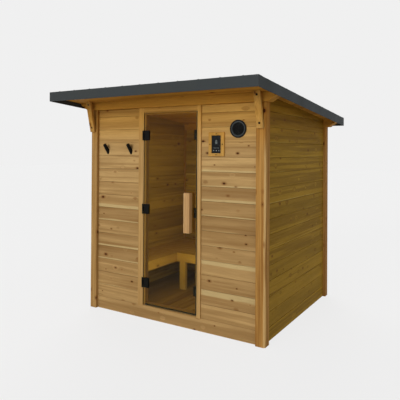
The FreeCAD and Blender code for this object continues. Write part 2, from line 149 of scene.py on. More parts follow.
def add_sun(name, way, disc_degrees, strength):
    """Light everything from one direction; a wide disc softens the shadows."""
    data = bpy.data.lights.new(name, "SUN")
    data.angle = math.radians(disc_degrees)
    data.energy = strength
    sun = bpy.data.objects.new(name, data)
    scene.collection.objects.link(sun)
    sun.matrix_world = Vector(way).to_track_quat("-Z", "Y").to_matrix().to_4x4()


add_sun("front_sun", (0.12, 0.97, -0.14), 30.0, 1.55)
add_sun("side_sun", (-0.8, 0.55, -0.1), 40.0, 0.35)
add_sun("back_sun", (0.45, -0.6, -0.66), 40.0, 0.85)
print("suns", [light.name for light in bpy.data.lights])

# %% [markdown]
# Daylight that has passed a bronze pane is warmer and a little greener. The lamp in the doorway has that
# colour, and it stands 110 mm behind the pane, where its light doesn't burn out the edge of the frame.

# %% The light in the room
room_tint = "#D6D89E"
behind_pane = 0.11


def add_room_light(size, place, way, power):
    """Light the room from a flat lamp in the doorway that no looking ray can see."""
    data = bpy.data.lights.new("doorway_light", "AREA")
    data.shape = "RECTANGLE"
    data.size, data.size_y = size
    data.energy = power
    data.color = linear(room_tint)[:3]
    lamp = bpy.data.objects.new("doorway_light", data)
    scene.collection.objects.link(lamp)
    lamp.matrix_world = Matrix.Translation(place) @ Vector(way).to_track_quat("-Z", "Y").to_matrix().to_4x4()
    lamp.visible_camera = lamp.visible_glossy = lamp.visible_transmission = False


glass_low, glass_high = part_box("door_glass")
behind_door = (glass_low + glass_high) / 2 + Vector((0, behind_pane, 0))
add_room_light((0.45, 1.6), behind_door, (-0.15, 1.0, 0.0), 17.0)
scene.view_settings.view_transform = "Standard"
print("room light at", [round(value, 2) for value in behind_door])

# %% [markdown]
# The floor is a plain pale sheet. It looks nearly white to the camera but for the shadow of the cabin, so
# it mixes a matt surface, which takes the shadow, with a faint glow that only looking rays see.

# %% The floor
floor_reach = 40.0
floor_glow = 0.78
floor_mesh = bpy.data.meshes.new("studio_floor")
corners = [(-floor_reach, -floor_reach, 0), (floor_reach, -floor_reach, 0),
           (floor_reach, floor_reach, 0), (-floor_reach, floor_reach, 0)]
floor_mesh.from_pydata(corners, [], [(0, 1, 2, 3)])
studio_floor = bpy.data.objects.new("studio_floor", floor_mesh)
scene.collection.objects.link(studio_floor)
paper = bpy.data.materials.new("pale_paper")
paper.use_nodes = True
tree = paper.node_tree
tree.nodes.clear()
matt = add(tree, "BsdfDiffuse", {"Color": "#D2D2D2"})
glow = add(tree, "Emission", {"Color": "#FFFFFF", "Strength": 1.0})
glow_share = add(tree, "Math", {0: seen_directly(tree), 1: floor_glow}, operation="MULTIPLY")
sheet = add(tree, "MixShader", {0: glow_share, 1: matt, 2: glow})
add(tree, "OutputMaterial", {"Surface": sheet})
floor_mesh.materials.append(paper)
print("floor", round(2 * floor_reach), "m wide")

# %% [markdown]
# The look of a real surface comes in coats: one colour runs through it, and dust, wear or dark rings lie
# over that where a pattern is strong. Two helpers serve every finish. The first starts a material. The
# second lays such coats one over another, each with a soft border.

# %% Coats of colour
smooth = {"interpolation_type": "SMOOTHSTEP"}


def new_material(name):
    """Start a material, and return it with its nodes and its shader."""
    material = bpy.data.materials.new(name)
    material.use_nodes = True
    tree = material.node_tree
    return material, tree, tree.nodes["Principled BSDF"]


def coats(tree, colour, *layers):
    """Lay colours over one another, each where its value passes two levels, up to its share."""
    for value, start, full, share, over in layers:
        shown = add(tree, "MapRange", {0: value, 1: start, 2: full, 3: 0.0, 4: share}, **smooth)
        colour = add(tree, "Mix", {0: shown, 6: colour, 7: over}, data_type="RGBA").outputs[2]
    return colour


print("borders between coats:", smooth["interpolation_type"].lower())

# %% [markdown]
# The cabin is built of planed softwood, most likely red cedar or a spruce like it, left without oil or
# paint. What the eye sees in it, from far to near: each board has its own tone, some boards keep a pale
# band of sapwood along one edge, small dark knots sit at random, and fine growth rings run along the
# board and bend round the knots. Wood could be a picture, but a picture repeats. Here it is solid: every
# point of a piece carries its place in the log (across, through and along the grain), so faces, edges
# and ends belong together. High up, under the eaves, the colour is painted darker and more orange, a
# painted shade of the overhang. A rough dry surface hardly shines, so its gloss is low.

# %% The grain's sizes
wood_ior = 1.53
wood_gloss = 0.06
# Real rings lie 2 to 4 mm apart and real fibres under 1 mm. Both are drawn coarser, or they wouldn't show.
ring_mm = 9.0
ring_stretch = (1.0, 1.0, 45.0)
fibre_size = (0.004, 0.004, 0.09)
patch_length = 0.75
knot_cell = (0.085, 0.13, 0.14)
# Above these heights the wood is painted darker and more orange, a painted shade under the eaves.
eaves_shade_heights = (1.6, 2.0)
print("rings drawn", ring_mm, "mm apart")

# %% [markdown]
# Growth rings run round a knot as water runs round a stone. The knots are the cells of a Voronoi pattern.
# Near a knot, the place that looks up the rings is drawn towards the knot's middle, which spreads the
# rings apart there. A place divided by the size of a pattern, in metres, gives the pattern that size.

# %% Knots and rings
smallest_knot = 0.03
largest_knot = 0.135


def knots_and_rings(tree, grain):
    """Return the distance from the nearest knot, in knot radii, and the wave of the growth rings."""
    cell = add(tree, "VectorMath", {0: grain, 1: knot_cell}, operation="DIVIDE")
    knot = add(tree, "TexVoronoi", {"Vector": cell, "Scale": 1.0}).outputs
    chance = add(tree, "SeparateColor", {0: knot["Color"]})
    radius = add(tree, "MapRange", {0: chance, 1: 0.2, 2: 1.0, 3: smallest_knot, 4: largest_knot}, **smooth)
    distance = add(tree, "Math", {0: knot["Distance"], 1: radius}, operation="DIVIDE")
    away = add(tree, "VectorMath", {0: cell, 1: knot["Position"]}, operation="SUBTRACT")
    away = add(tree, "VectorMath", {0: away, 1: knot_cell}, operation="MULTIPLY")
    strength = add(tree, "MapRange", {0: distance, 1: 3.2, 2: 0.6, 3: 0.0, 4: 0.3}, **smooth)
    pull = add(tree, "VectorMath", {0: away, "Scale": strength}, operation="SCALE")
    bent = add(tree, "VectorMath", {0: grain, 1: pull}, operation="SUBTRACT")
    bent = add(tree, "VectorMath", {0: bent, 1: ring_stretch}, operation="DIVIDE")
    rings = add(tree, "TexWave", {"Vector": bent, "Scale": 0.314 / (ring_mm / 1000), "Distortion": 4.0,
                                  "Detail": 2.0}, wave_type="RINGS", rings_direction="Z").outputs["Fac"]
    return distance, rings


print("one knot at most in each", [round(size * 1000) for size in knot_cell], "mm")

# %% [markdown]
# One function makes every wood of the cabin. It starts from three colours: pale early wood, deeper
# heartwood and the dark late wood of the rings. On top come the sapwood (at the front posts' corners a
# painted highlight), the fibres, the knots and a painted shade of the eaves, which turns high wood darker
# and more orange. A faint bump follows the rings and the fibres, because late wood is harder and
# stands up after planing.

# %% Planed softwood
def wood(name, pale, deep, late, sap="#D0B780", roughness=0.64, knots=1.0, ring_depth=0.36, streak=0.05,
         uneven=0.2):
    """Make planed, untreated softwood from its early, deep and late wood colours."""
    material, tree, shader = new_material(name)
    grain = add(tree, "Attribute", attribute_name="grain").outputs["Vector"]
    board = add(tree, "Attribute", attribute_name="board").outputs["Vector"]
    own_tone, from_edge, sapwood_and_highlight_width = add(tree, "SeparateXYZ", {0: board}).outputs
    place = add(tree, "VectorMath", {0: grain, 1: (streak, streak, patch_length)}, operation="DIVIDE")
    broad = add(tree, "TexNoise", {"Vector": place, "Scale": 1.0, "Detail": 3.0})
    place = add(tree, "VectorMath", {0: grain, 1: fibre_size}, operation="DIVIDE")
    fibre = add(tree, "TexNoise", {"Vector": place, "Scale": 1.0, "Detail": 2.0})
    distance, rings = knots_and_rings(tree, grain)
    tone = add(tree, "Math", {0: own_tone, 1: 0.4, 2: 0.5}, operation="MULTIPLY_ADD")
    patches = add(tree, "MapRange", {0: broad, 1: 0.3, 2: 0.7, 3: -uneven, 4: uneven}, **smooth)
    tone = add(tree, "Math", {0: patches, 1: tone}, operation="ADD")
    wander = add(tree, "MapRange", {0: broad, 1: 0.3, 2: 0.7, 3: -0.05, 4: 0.05}, **smooth)
    inside = add(tree, "Math", {0: sapwood_and_highlight_width, 1: from_edge}, operation="SUBTRACT")
    inside = add(tree, "Math", {0: inside, 1: wander}, operation="ADD")
    colour = add(tree, "Mix", {0: tone, 6: deep, 7: pale}, data_type="RGBA").outputs[2]
    colour = coats(tree, colour, (rings, 0.45, 0.98, ring_depth, late), (inside, -0.03, 0.05, 0.75, sap),
                   (fibre, 0.35, 0.75, 0.18, late), (distance, 2.4, 0.9, 0.55 * knots, "#7A4518"),
                   (distance, 1.15, 0.7, knots, "#431F0A"))
    # Painted shade of the eaves: above 1.6 m the colour is multiplied towards a darker, more orange one.
    height = add(tree, "SeparateXYZ", {0: add(tree, "TexCoord").outputs["Object"]}).outputs[2]
    eaves_shade = add(tree, "MapRange", {0: height, 1: eaves_shade_heights[0], 2: eaves_shade_heights[1]}, **smooth)
    colour = add(tree, "Mix", {0: eaves_shade, 6: colour, 7: "#FFF0BC"}, data_type="RGBA",
                 blend_type="MULTIPLY").outputs[2]
    summer = add(tree, "MapRange", {0: rings, 1: 0.45, 2: 0.98, 3: 0.0, 4: ring_depth}, **smooth)
    relief = add(tree, "Math", {0: summer, 1: fibre}, operation="ADD")
    bump = add(tree, "Bump", {"Height": relief, "Strength": 0.35, "Distance": 0.0008})
    sheen = add(tree, "MapRange", {0: fibre, 1: 0.2, 2: 0.8, 3: roughness - 0.06, 4: roughness + 0.08},
                **smooth)
    fill(tree, shader, {"Base Color": colour, "Roughness": sheen, "Normal": bump, "IOR": wood_ior,
                        "Specular IOR Level": wood_gloss})
    return material


# The print gives the height where the painted shade of the eaves begins.
print("wood keeps its orange above", eaves_shade_heights[0], "m")

# %% [markdown]
# The cabin's woods differ only in tone. The planks on the right are painted darker and yellower than
# those in front, a painted shade of that side, and the left and back ones, which the photograph doesn't
# show, are set between the two, with half that painted shade. The boards under the eaves and the beams
# are painted more orange, a painted warm shade under the roof, and the door frame is paler. The benches
# and handles are sanded, which leaves them smoother and a little glossier, and the floor is dark from use.

# %% The woods of the cabin
plank_wood = wood("planed_cedar_planks", "#CEA96F", "#997648", "#815A2C")
# Painted shade: the right planks are a darker, yellower copy of the front wood.
shaded_right_wood = wood("planed_cedar_right_planks_painted_shade", "#B28B2E", "#7F6018", "#66470E", sap="#BFA050", ring_depth=0.45,
                 knots=0.5)
# Half the right side's painted shade, on the left and back planks.
hidden_wood = wood("planed_cedar_left_and_back_planks", "#BE9A4C", "#8B6A30", "#6E4F1E", sap="#C8AB66")
# Painted warm shade: the deck and beams under the eaves are a more orange copy; the panel's surround shares
# it for its tone.
eaves_wood = wood("planed_cedar_under_the_eaves", "#D6A656", "#A0763A", "#85571F")
# Its sapwood colour shows only at the front right post's corner, as a painted highlight.
frame_wood = wood("planed_cedar_frame", "#CD9B53", "#8F602A", "#7A4D20", sap="#DDB87C", ring_depth=0.5,
                  streak=0.024, uneven=0.34)
joinery_wood = wood("planed_cedar_joinery", "#D6AF72", "#A8814A", "#8F6433", knots=0.7, streak=0.02,
                    uneven=0.3)
bench_wood = wood("sanded_bench_wood", "#CDA768", "#A98248", "#91682F", roughness=0.55, knots=0.6)
handle_wood = wood("sanded_handle_wood", "#D6AD78", "#BC915E", "#A0723F", roughness=0.5, knots=0.0)
floor_wood = wood("walked_floor_wood", "#967447", "#6E502C", "#573C20", roughness=0.7, knots=0.7)
print("woods", [name for name in bpy.data.materials.keys() if "cedar_" in name or "_wood" in name])

# %% [markdown]
# Every wooden piece has to know how it lay in the log. Each point gets its place across, through and
# along the grain, moved by a random step for each board, so that no two boards show the same stretch of
# wood. A second mark holds the tone of the board and how far the point is from the edge that keeps
# sapwood.

# %% Mark the grain
# At the front posts' outer corner the sapwood coat paints a pale strip this wide, a painted highlight of the
# eased edge.
corner_reach = 0.09
corner_highlight_width = 0.16


def mark_wood(mesh, axes, name, joints=None, sap_edges=None, tone=0.0, spread=0.75, corner=None, tones=None):
    """Store the grain place and each board's marks on a mesh's points, with a painted highlight at an
    upright corner.
    """
    sap_edges = sap_edges or {}
    grain = mesh.attributes.new("grain", "FLOAT_VECTOR", "POINT")
    board = mesh.attributes.new("board", "FLOAT_VECTOR", "POINT")
    chosen = {}
    for vertex in mesh.vertices:
        across, depth, along = (vertex.co[axis] for axis in axes)
        index = 0
        low, high = across - 1.0, across + 1.0
        if joints:
            index = max(0, min(len(joints) - 2, bisect_right(joints, across) - 1))
            low, high = joints[index], joints[index + 1]
        if index not in chosen:
            draw = random.Random(name + str(index))
            pith = (draw.uniform(-0.05, 0.05), draw.uniform(0.03, 0.12), draw.uniform(0.0, 40.0))
            own_tone = max(-1.0, min(1.0, tone + draw.uniform(-spread, spread)))
            chosen[index] = (pith, (tones or {}).get(index, own_tone))
        pith, own_tone = chosen[index]
        start = (low + high) / 2 if joints else 0.0
        share = (across - low) / (high - low)
        sap = sap_edges.get(index, 0.0)
        from_edge = share if sap >= 0 else 1 - share
        # A corner gets the pale sapwood coat as a painted highlight along the eased edge.
        if corner:
            from_edge = (vertex.co.xy - Vector(corner)).length / corner_reach
            sap = corner_highlight_width
        grain.data[vertex.index].vector = (across - start + pith[0], depth + pith[1], along + pith[2])
        board.data[vertex.index].vector = (own_tone, from_edge, abs(sap))


# The print gives the width of the painted highlight at the posts' corners.
print("sapwood at the corners reaches", round(corner_reach * corner_highlight_width * 1000), "mm")

# %% [markdown]
# A finished mesh becomes a piece of the scene in the same few steps each time. It gets its material, the
# body that it rides on, and the solids that it is shown instead of.

# %% Show a piece
def show(name, mesh, material, body, slot, *nodes):
    """Put a mesh in the scene as a piece that rides on a body and stands for CAD nodes."""
    piece = bpy.data.objects.new(name, mesh)
    scene.collection.objects.link(piece)
    if not mesh.materials:
        mesh.materials.append(material)
    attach(piece, body)
    if nodes:
        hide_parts(*nodes)


print("solids to show or dress", len(frame["nodes"]))

# %% [markdown]
# The walls are tongue-and-groove boards, 42 mm thick, which cover 133.5 mm each and lie one on another. A
# plain slab with drawn lines would look flat from near. Real boards are cheap: one section, with its
# tongue, groove and small chamfers, is pushed along each course, and the dark line between two boards is
# a real gap.

# %% The section of a board
cover = 0.1335
chamfer = 0.0025
board_gap = 0.0016
tongue_length = 0.007
tongue_half = 0.005
groove_play = 0.0005


def board_section(low, high, thick):
    """Return the section of one board as points of place across and depth."""
    low, high = low + board_gap / 2, high - board_gap / 2
    middle = thick / 2
    slot_half = tongue_half + groove_play
    slot_top = low + tongue_length + groove_play
    return [
        (low + chamfer, 0.0), (high - chamfer, 0.0), (high, chamfer),
        (high, middle - tongue_half), (high + tongue_length, middle - tongue_half),
        (high + tongue_length, middle + tongue_half), (high, middle + tongue_half),
        (high, thick - chamfer), (high - chamfer, thick), (low + chamfer, thick), (low, thick - chamfer),
        (low, middle + slot_half), (slot_top, middle + slot_half),
        (slot_top, middle - slot_half), (low, middle - slot_half), (low, chamfer),
    ]


print("tongues", round(tongue_length * 1000), "mm long, gaps", board_gap * 1000, "mm")

# %% [markdown]
# A bar is the plainest closed body: one section at two ends, joined by its sides. A small function says
# where each point of the section goes, so the same bar can lie along any axis or follow the roof. Nearly
# every board, trim and seal here is such a bar.

# %% Bars
def finished(bm, name):
    """Turn a half-built shape into a mesh."""
    mesh = bpy.data.meshes.new(name)
    bm.to_mesh(mesh)
    bm.free()
    return mesh


def push_section(bm, section, place, start, end):
    """Add one closed bar: a section at two ends, joined by its sides."""
    rings = [[bm.verts.new(place(along, across, depth)) for across, depth in section]
             for along in (start, end)]
    faces = [bm.faces.new(rings[0]), bm.faces.new(rings[1])]
    for index, vertex in enumerate(rings[0]):
        following = (index + 1) % len(section)
        faces.append(bm.faces.new((vertex, rings[0][following], rings[1][following], rings[1][index])))
    bmesh.ops.recalc_face_normals(bm, faces=faces)


def bar_mesh(name, bars):
    """Return the mesh of closed bars, each with its section, its way of placing, its start and its end."""
    bm = bmesh.new()
    for bar in bars:
        push_section(bm, *bar)
    return finished(bm, name)


print("sides of a board", len(board_section(0.0, cover, 0.042)))

# %% [markdown]
# A wall is a stack of boards. The lowest may be of another height, each one above it covers the same, and
# the top one is as high as the room that is left.

# %% Courses of boards
lowest_top = 0.01


def courses(low, high, first, cover):
    """Return the joints of a wall: its foot, the first joint and one joint a board up to the top."""
    joints = [low]
    height = first
    while height < high - lowest_top:
        joints.append(height)
        height += cover
    return joints + [high]


def plank_mesh(name, place, joints, thick, start, end):
    """Return the mesh of a stack of boards, whose last tongue is left off."""
    sections = [board_section(low, high, thick) for low, high in zip(joints, joints[1:])]
    sections[-1] = sections[-1][:4] + sections[-1][6:]
    return bar_mesh(name, [(section, place, start, end) for section in sections])


print("a wall 1 m high has", len(courses(0.0, 1.0, cover, cover)) - 1, "courses")

# %% [markdown]
# The front has two panels, one on each side of the door. In the photograph some of their boards are
# darker or paler than the rest, and some keep a pale band of sapwood along the lower edge. Those boards
# are named here by their number, counted from the ground up.

# %% Boards that stand out
# The high boards, 12 to 14, are set paler partly as painted light that lifts them in the shade of the eaves;
# the other tones are the boards' own.
front_tone = {
    "front_wall_left": {1: 0.0, 2: 0.4, 3: -0.7, 7: 0.0, 8: 0.7, 9: 0.8, 12: 0.8, 13: 0.3},
    "front_wall_right": {0: 0.7, 3: 0.4, 5: -0.2, 6: -0.9, 7: -0.4, 8: -0.6, 12: 0.8, 13: 0.3, 14: 1.2},
}
side_tone = {0: 0.9, 3: 0.4, 7: 0.4, 9: 0.5, 10: 0.5, 11: 0.5, 12: 0.6}
front_sap = {
    "front_wall_left": {3: 0.11, 4: 0.18, 6: 0.12, 7: 0.27, 9: -0.06},
    "front_wall_right": {1: -0.35, 3: -0.3, 7: 0.08, 8: 0.13, 9: 0.12, 10: 0.15},
}
print("boards with a tone of their own", sum(len(tones) for tones in front_tone.values()) + len(side_tone))

# %% [markdown]
# The vent's pipe goes through the right-hand panel, so its boards need a true round hole. The hole is cut
# by a boolean modifier with a cylinder, a drill that leaves the scene once the cut is taken over.

# %% The front wall
drill_length = 0.2


def add_disc(bm, centre, radius, thick, segments):
    """Add a round disc or rod whose axis lies along Y."""
    turn = Matrix.Translation(centre) @ Matrix.Rotation(math.pi / 2, 4, "X")
    bmesh.ops.create_cone(bm, cap_ends=True, segments=segments, radius1=radius, radius2=radius, depth=thick,
                          matrix=turn)


def bore(mesh, name, centre, radius):
    """Cut a round hole through a mesh along Y."""
    bm = bmesh.new()
    add_disc(bm, centre, radius, drill_length, 64)
    piece = bpy.data.objects.new(name, mesh)
    drill = bpy.data.objects.new(name + "_drill", finished(bm, name + "_drill"))
    for made in (piece, drill):
        scene.collection.objects.link(made)
    cut = piece.modifiers.new("hole", "BOOLEAN")
    cut.object = drill
    cut.operation = "DIFFERENCE"
    bpy.context.view_layer.update()
    bored = bpy.data.meshes.new_from_object(piece.evaluated_get(bpy.context.evaluated_depsgraph_get()))
    bpy.data.objects.remove(piece)
    bpy.data.objects.remove(drill)
    return bored


vent_low, vent_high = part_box("round_vent")
vent_centre = (vent_low + vent_high) / 2
vent_hole = 0.0605
for node, tone in (("front_wall_left", 0.0), ("front_wall_right", 0.05)):
    low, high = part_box(node)
    joints = courses(low.z, high.z, low.z + cover, cover)
    mesh = plank_mesh(node + "_planks", lambda along, across, depth: (along, low.y + depth, across),
                      joints, high.y - low.y, low.x, high.x)
    if node == "front_wall_right":
        mesh = bore(mesh, node, vent_centre, vent_hole)
    mark_wood(mesh, (2, 1, 0), node, joints, front_sap[node], tone, tones=front_tone[node])
    show(node + "_planks", mesh, plank_wood, "cabin", "cedar_planks", node)
    print(node, len(joints) - 1, "boards", len(mesh.polygons), "faces")

# %% [markdown]
# The side walls are cut at the top to the slope of the roof. The cut is made after the boards are stacked,
# as a carpenter would do it on the wall, and the slope is measured on the solids.

# %% Cut to the slope
def cut_to_slope(mesh, high_point, low_point):
    """Cut a mesh off above the line from one point to another, and close the cut."""
    bm = bmesh.new()
    bm.from_mesh(mesh)
    line = Vector(low_point) - Vector(high_point)
    normal = Vector((1, 0, 0)).cross(line).normalized()
    if normal.z < 0:
        normal = -normal
    everything = bm.verts[:] + bm.edges[:] + bm.faces[:]
    bmesh.ops.bisect_plane(bm, geom=everything, plane_co=high_point, plane_no=normal, clear_outer=True)
    bmesh.ops.holes_fill(bm, edges=[edge for edge in bm.edges if edge.is_boundary], sides=0)
    bm.to_mesh(mesh)
    bm.free()


def slope_ends(node):
    """Return the top points of a node at its front and back ends."""
    low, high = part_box(node)
    points = [vertex.co for vertex in frame["nodes"][node].data.vertices]
    front = max(point.z for point in points if point.y < low.y + 0.001)
    back = max(point.z for point in points if point.y > high.y - 0.001)
    return Vector((0, low.y, front)), Vector((0, high.y, back))


print("left wall from", *[round(point.z, 3) for point in slope_ends("left_wall")], "m, front to back")

# %% [markdown]
# The side and back walls are the same boards as the front. Their lowest course is as high as the front's
# bottom board, so the joints run round the corners at one height.

# %% The side and back walls
bottom_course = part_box("front_bottom_board")[1].z
for node, side in (("left_wall", -1), ("right_wall", 1)):
    low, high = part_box(node)
    outer = low.x if side < 0 else high.x
    joints = courses(0.0, high.z, bottom_course, cover)
    mesh = plank_mesh(node, lambda along, across, depth: (outer - side * depth, along, across), joints,
                      high.x - low.x, low.y, high.y)
    cut_to_slope(mesh, *slope_ends(node))
    mark_wood(mesh, (2, 0, 1), node, joints, {9: 0.04}, -0.1, tones=side_tone)
    show(node + "_planks", mesh, hidden_wood if side < 0 else shaded_right_wood, "cabin", "cedar_planks", node)
    print(node, len(joints) - 1, "boards")

low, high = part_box("back_wall")
joints = courses(0.0, high.z, bottom_course, cover)
mesh = plank_mesh("back_wall", lambda along, across, depth: (along, high.y - depth, across), joints,
                  high.y - low.y, low.x, high.x)
mark_wood(mesh, (2, 1, 0), "back_wall", joints, {2: 0.15, 6: -0.1, 10: 0.2}, -0.05)
show("back_wall_planks", mesh, hidden_wood, "cabin", "cedar_planks", "back_wall")
print("back_wall", len(joints) - 1, "boards")

# %% [markdown]
# Posts, beams, braces, the door frame and the benches are planed square timber. A machine breaks their
# sharp edges by a millimetre or two, and that small round catches a line of light on every corner. The
# solids are already right, so each one is copied, its flat faces are joined up and its edges are
# bevelled.

# %% Timber with broken edges
broken_edge = 0.002
sharp_angle = math.radians(30)


def eased(node, name, width=broken_edge):
    """Return a copy of a node's mesh with its sharp edges broken."""
    bm = bmesh.new()
    bm.from_mesh(frame["nodes"][node].data)
    bmesh.ops.remove_doubles(bm, verts=bm.verts[:], dist=0.00002)
    bmesh.ops.dissolve_limit(bm, angle_limit=math.radians(1), verts=bm.verts[:], edges=bm.edges[:])
    sharp = [edge for edge in bm.edges if len(edge.link_faces) == 2 and edge.calc_face_angle() > sharp_angle]
    bmesh.ops.bevel(bm, geom=sharp, offset=width, segments=2, profile=0.5, affect="EDGES",
                    clamp_overlap=True)
    return finished(bm, name)


print("edges broken by", broken_edge * 1000, "mm")

# %% [markdown]
# Each timber is listed with the way its grain runs, its wood and its own tone. The grain runs along a
# timber's length, and upright in the surround of the panel. The two front posts get a pale strip at
# their outer corner, a painted highlight of the eased edge.

# %% The timbers
across_x, across_y, across_z = (2, 1, 0), (2, 0, 1), (0, 1, 2)
timbers = {
    "post_front_left": (across_z, joinery_wood, -1.0), "post_front_right": (across_z, frame_wood, 0.1),
    "post_back_left": (across_z, frame_wood, 0.0), "post_back_right": (across_z, frame_wood, 0.15),
    "front_bottom_board": (across_x, plank_wood, 0.0),
    "front_beam": (across_x, eaves_wood, 0.3), "back_beam": (across_x, eaves_wood, 0.0),
    "knee_brace_left": (across_z, joinery_wood, -0.4), "knee_brace_right": (across_z, joinery_wood, 0.2),
    "door_jamb_left": (across_z, joinery_wood, 0.0), "door_jamb_right": (across_z, joinery_wood, 0.5),
    "door_head": (across_x, joinery_wood, -0.2), "door_sill": (across_x, joinery_wood, 0.0),
    "control_panel_frame": (across_z, eaves_wood, 0.5),
    "left_bench": (across_y, bench_wood, 0.0), "back_bench": (across_x, bench_wood, 0.0),
    "bench_leg": (across_z, bench_wood, 0.3), "floor_battens": (across_x, floor_wood, 0.0),
    "door_handle_outside": (across_z, handle_wood, 0.2), "door_handle_inside": (across_z, handle_wood, 0.0),
}
slots = {part["node"]: part["material_slot"] for part in frame["record"]["subparts"]}
for node, (axes, material, tone) in timbers.items():
    mesh = eased(node, node + "_timber")
    low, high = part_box(node)
    corner = None
    if node.startswith("post_front"):
        corner = (low.x if node.endswith("left") else high.x, low.y)
    mark_wood(mesh, axes, node, tone=tone, spread=0.0, corner=corner)
    body = "door" if node.startswith("door_handle") else "cabin"
    show(node + "_timber", mesh, material, body, slots[node], node)
print("timbers", len(timbers))

# %% [markdown]
# The roof is a deck of boards that shows from below under the overhangs, a dark membrane on top, and
# folded steel trims round the edge. The boards run from side to side, and they follow the slope.

# %% The roof deck
deck_front, deck_back = slope_ends("roof_deck")
deck_low, deck_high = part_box("roof_deck")
deck_slope = (deck_front.z - deck_back.z) / (deck_back.y - deck_front.y)
deck_thick = 0.042


def deck_place(along, across, depth):
    """Return the point of the deck at a place from side to side, a place from front to back and a depth."""
    return (along, across, deck_front.z - deck_slope * (across - deck_front.y) - depth)


joints = courses(deck_low.y, deck_high.y, deck_low.y + cover, cover)
mesh = plank_mesh("roof_deck_boards", deck_place, joints, deck_thick, deck_low.x, deck_high.x)
mark_wood(mesh, (1, 2, 0), "roof_deck", joints, tone=-0.1)
show("roof_deck_boards", mesh, eaves_wood, "cabin", "cedar_planks", "roof_deck")
print("deck boards", len(joints) - 1)

# %% [markdown]
# The floor inside is narrower boards from front to back with 4 mm of air between them, darker than the
# rest because it is walked on and stays wet longer.

# %% The floor boards
floor_low, floor_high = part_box("floor_boards")
floor_count = 19
floor_split = 0.004
floor_edge = 0.0015
post_gap = 0.003


def floor_section(low, high, thick):
    """Return the section of a floor board with broken upper edges."""
    low, high = low + floor_split / 2, high - floor_split / 2
    return [(low + floor_edge, 0.0), (high - floor_edge, 0.0), (high, floor_edge), (high, thick),
            (low, thick), (low, floor_edge)]


post_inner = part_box("post_front_right")[0].x - post_gap
post_back_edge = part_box("post_front_right")[1].y + post_gap
post_front_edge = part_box("post_back_right")[0].y - post_gap
pitch = 2 * post_inner / floor_count
floor_joints = [-post_inner + pitch * index for index in range(floor_count + 1)]
floor_joints = [floor_low.x] + floor_joints + [floor_high.x]
bars = []
for index in range(len(floor_joints) - 1):
    beside_post = index in (0, len(floor_joints) - 2)
    start, end = (post_back_edge, post_front_edge) if beside_post else (floor_low.y, floor_high.y)
    section = floor_section(floor_joints[index], floor_joints[index + 1], floor_high.z - floor_low.z)
    bars.append((section, lambda along, across, depth: (across, along, floor_high.z - depth), start, end))
mesh = bar_mesh("floor_planks", bars)
mark_wood(mesh, (0, 2, 1), "floor_boards", floor_joints)
show("floor_planks", mesh, floor_wood, "cabin", "bench_wood", "floor_boards")
print("floor boards", len(floor_joints) - 1)

# %% [markdown]
# The trims are galvanised steel sheet with a matt slate-grey coating, folded on a brake. The coating is
# even, with a faint orange-peel and a little dust, so it gives a broad soft sheen and no sparkle.
# The powder-coated hinges and pegs are blacker and a little smoother. Both coatings hide the metal, so
# neither shader is metallic.

# %% Coated metal
coat_gloss = 0.06
dust_share = 0.25


def coated_metal(name, colour, dust, roughness, peel_mm):
    """Make painted or powder-coated steel with a faint peel and some dust."""
    material, tree, shader = new_material(name)
    place = add(tree, "TexCoord").outputs["Object"]
    patches = add(tree, "TexNoise", {"Vector": place, "Scale": 3.2, "Detail": 4.0})
    peel = add(tree, "TexNoise", {"Vector": place, "Scale": 1000 / peel_mm, "Detail": 1.0})
    sheen = add(tree, "MapRange", {0: patches, 1: 0.3, 2: 0.8, 3: roughness - 0.05, 4: roughness + 0.1},
                **smooth)
    bump = add(tree, "Bump", {"Height": peel, "Strength": 0.12, "Distance": 0.0005})
    fill(tree, shader, {"Base Color": coats(tree, colour, (patches, 0.4, 0.75, dust_share, dust)),
                        "Roughness": sheen, "Normal": bump, "Specular IOR Level": coat_gloss})
    return material


def finish_node(material, *names):
    """Give CAD nodes that are shown as they are their material."""
    for name in names:
        mesh = frame["nodes"][name].data
        mesh.materials.clear()
        mesh.materials.append(material)


# The peel is drawn 3 to 9 mm wide. The real one is under 1 mm and wouldn't show.
slate_steel = coated_metal("coated_steel_slate", "#3F4344", "#494A44", 0.55, 9.0)
black_steel = coated_metal("powder_coated_black", "#100F0B", "#1A1812", 0.5, 4.0)
hinge_nodes = [name for name in frame["nodes"] if name.startswith("hinge_")]
finish_node(black_steel, "coat_peg_left", "coat_peg_right", *hinge_nodes)
print("coated nodes", len(hinge_nodes) + 2)

# %% [markdown]
# The real trims are sheet steel of 0.6 mm, thinner than the solids' 2 mm, and their upper fold is a small
# round. Three flat steps are enough to round it. The room that the thin sheet leaves goes to the heads of
# the screws.

# %% The section of a trim
sheet_steel = 0.0006
trim_drop = 0.004
fold_radius = 0.0025
trim_low, trim_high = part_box("roof_trim_front")
roof_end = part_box("roof_trim_back")[1].y
trim_height = 0.095
trim_flange = 0.07
trim_lip = 0.005
trim_play = 0.0001


def roof_top(y):
    """Return the height of the solids' roof at a depth."""
    return trim_high.z - deck_slope * (y - trim_low.y)


def trim_section(drop):
    """Return the section of a trim as points of place inward and depth under the roof's top."""
    middle = drop + fold_radius
    outer, inner = [], []
    for step in range(4):
        turn = math.radians(30 * step)
        for path, radius in ((outer, fold_radius), (inner, fold_radius - sheet_steel)):
            path.append((fold_radius - radius * math.sin(turn), middle - radius * math.cos(turn)))
    outer = [(trim_flange, drop)] + outer + [(0.0, trim_height), (trim_lip, trim_height)]
    inner = [(trim_flange, drop + sheet_steel)] + inner + [(sheet_steel, trim_height - sheet_steel),
                                                           (trim_lip, trim_height - sheet_steel)]
    return outer + inner[::-1]


print("trims", trim_height * 1000, "mm high")

# %% [markdown]
# The section is pushed along each edge of the roof. The side trims go on first and the front and back
# trims lap over them, so the side ones lie one thickness lower.

